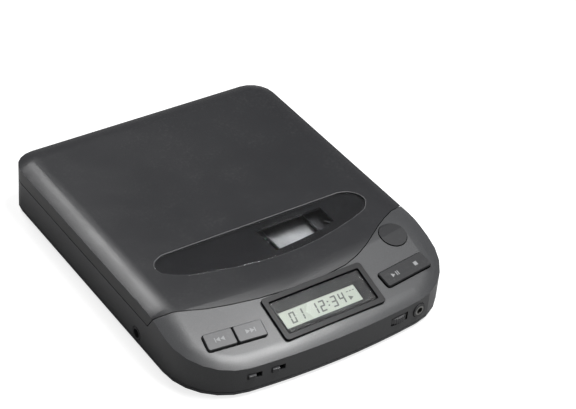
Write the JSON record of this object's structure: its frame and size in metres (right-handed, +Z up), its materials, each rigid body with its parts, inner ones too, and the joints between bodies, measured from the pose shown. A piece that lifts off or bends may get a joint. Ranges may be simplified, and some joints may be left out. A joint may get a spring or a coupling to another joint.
{
  "type": "portable cd player",
  "caption": "Slim battery disc player: hinged lid with a tinted window over a disc well, sloping deck with display and keys, controls in the front wall.",
  "frame": {"origin": "under the middle of the player, on the plane its feet stand on", "axes": "+X to the player's right, +Y to its hinge at the rear, +Z up"},
  "size_m": [0.13, 0.158, 0.0255],
  "materials": {
    "case_grey": "fine satin",
    "case_black": "fine grain",
    "lid_grey": "fine satin",
    "inner_black": "matte",
    "inner_white": "satin",
    "window_tint": "polished",
    "key_grey": "satin",
    "key_dark": "satin",
    "bezel_black": "polished",
    "display": "satin",
    "clear_plate": "polished",
    "board_green": "satin",
    "chip_black": "satin",
    "rubber_black": "matte",
    "mat_grey": "matte",
    "steel_plate": "rolled",
    "steel_bright": "ground",
    "spring_plated": "plated",
    "screw_dark": "blackened",
    "cast_alloy": "as cast",
    "brass_gear": "turned",
    "lens_glass": "polished"
  },
  "bodies": {
    "case": {"bass_switch": "steel_plate", "battery_plate": "spring_plated", "battery_spring": "spring_plated", "bottom_case": "case_black", "case_screw_front_left": "screw_dark", "case_screw_front_right": "screw_dark", "case_screw_rear_left": "screw_dark", "case_screw_rear_right": "screw_dark", "damper_front_left": "rubber_black", "damper_front_right": "rubber_black", "damper_rear": "rubber_black", "dc_jack": "case_black", "feed_gear_post": "steel_bright", "guide_rod_left": "steel_bright", "guide_rod_right": "steel_bright", "headphone_jack": "case_black", "hinge_pin_left": "steel_bright", "hinge_pin_right": "steel_bright", "hold_switch": "steel_plate", "key_board": "board_green", "lcd_bezel": "bezel_black", "lcd_lens": "clear_plate", "lcd_panel": "display", "left_key_mat": "mat_grey", "lid_switch": "inner_white", "main_board": "board_green", "mechanism_chassis": "steel_plate", "right_key_mat": "mat_grey", "rubber_foot_front_left": "rubber_black", "rubber_foot_front_right": "rubber_black", "rubber_foot_rear_left": "rubber_black", "rubber_foot_rear_right": "rubber_black", "servo_chip": "chip_black", "signal_chip": "chip_black", "sled_motor": "steel_bright", "spindle_motor": "steel_bright", "top_case": "case_grey", "volume_pot": "chip_black"},
    "lid": {"lid_shell": "lid_grey", "lid_liner": "inner_black", "lid_window": "window_tint", "window_mask": "inner_black", "lid_catch": "inner_black"},
    "turntable": {"turntable": "inner_black", "spindle_shaft": "steel_bright", "disc_claws": "inner_white"},
    "sled": {"pickup_sled": "cast_alloy", "lens_holder": "inner_black", "objective_lens": "lens_glass"},
    "open_button": {"open_button": "lid_grey"},
    "latch_slide": {"latch_slide": "inner_white"},
    "skip_back_key": {"skip_back_key": "key_grey"},
    "skip_forward_key": {"skip_forward_key": "key_grey"},
    "play_stop_rocker": {"play_stop_rocker": "key_dark"},
    "hold_knob": {"hold_knob": "case_black"},
    "bass_knob": {"bass_knob": "case_black"},
    "volume_wheel": {"volume_wheel": "inner_black"},
    "battery_door": {"battery_door": "case_black"},
    "feed_gear": {"feed_gear": "inner_white"},
    "sled_motor_gear": {"sled_motor_gear": "brass_gear"}
  },
  "joints": [
    {"name": "lid_hinge", "type": "hinge", "parent": "case", "child": "lid", "pos_m": [0, 0.077, 0.0176], "axis": [-1, 0, 0], "range_deg": [0, 68]},
    {"name": "open_button_press", "type": "slide", "parent": "case", "child": "open_button", "axis": [-0.0371, 0.2448, -0.9689], "range_m": [0, 0.0012], "stiffness_N_per_m": 400, "springref_m": -0.001},
    {"name": "latch_travel", "type": "slide", "parent": "case", "child": "latch_slide", "axis": [0, 1, 0], "range_m": [0, 0.0012]},
    {"name": "skip_back_press", "type": "slide", "parent": "case", "child": "skip_back_key", "axis": [0.0347, 0.2908, -0.9562], "range_m": [0, 0.0006], "stiffness_N_per_m": 300, "springref_m": -0.0005},
    {"name": "skip_forward_press", "type": "slide", "parent": "case", "child": "skip_forward_key", "axis": [0.0347, 0.2908, -0.9562], "range_m": [0, 0.0006], "stiffness_N_per_m": 300, "springref_m": -0.0005},
    {"name": "play_stop_rock", "type": "hinge", "parent": "case", "child": "play_stop_rocker", "pos_m": [0.0428, -0.0628, 0.01954], "axis": [-0.1198, 0.9486, 0.2928], "range_deg": [-2.5, 2.5], "stiffness_Nm_per_rad": 0.05},
    {"name": "hold_slide", "type": "slide", "parent": "case", "child": "hold_knob", "axis": [0.9938, -0.111, 0], "range_m": [0, 0.0026]},
    {"name": "bass_slide", "type": "slide", "parent": "case", "child": "bass_knob", "axis": [0.9967, -0.0817, 0], "range_m": [0, 0.0026]},
    {"name": "volume_turn", "type": "hinge", "parent": "case", "child": "volume_wheel", "pos_m": [0.03, -0.07153, 0.0093], "axis": [0, 0, 1], "range_deg": [0, 280]},
    {"name": "turntable_spin", "type": "hinge", "parent": "case", "child": "turntable", "pos_m": [0, 0.01217, 0], "axis": [0, 0, 1], "continuous": true},
    {"name": "sled_travel", "type": "slide", "parent": "case", "child": "sled", "axis": [0, -1, 0], "range_m": [0, 0.033]},
    {"name": "feed_gear_spin", "type": "hinge", "parent": "case", "child": "feed_gear", "pos_m": [0.0248, -0.02, 0.009], "axis": [0, 0, 1], "range_deg": [0, 452]},
    {"name": "motor_gear_spin", "type": "hinge", "parent": "case", "child": "sled_motor_gear", "pos_m": [0.02775, -0.00899, 0.0077], "axis": [0, 0, 1], "range_deg": [-1690, 0]},
    {"name": "battery_door_slide", "type": "slide", "parent": "case", "child": "battery_door", "axis": [0, 1, 0], "range_m": [0, 0.02]}
  ],
  "couplings": [
    {"joint": "latch_travel", "follows": "open_button_press", "ratio": 1},
    {"joint": "feed_gear_spin", "follows": "sled_travel", "rad_per_m": 238.1},
    {"joint": "motor_gear_spin", "follows": "sled_travel", "rad_per_m": -892.86}
  ]
}
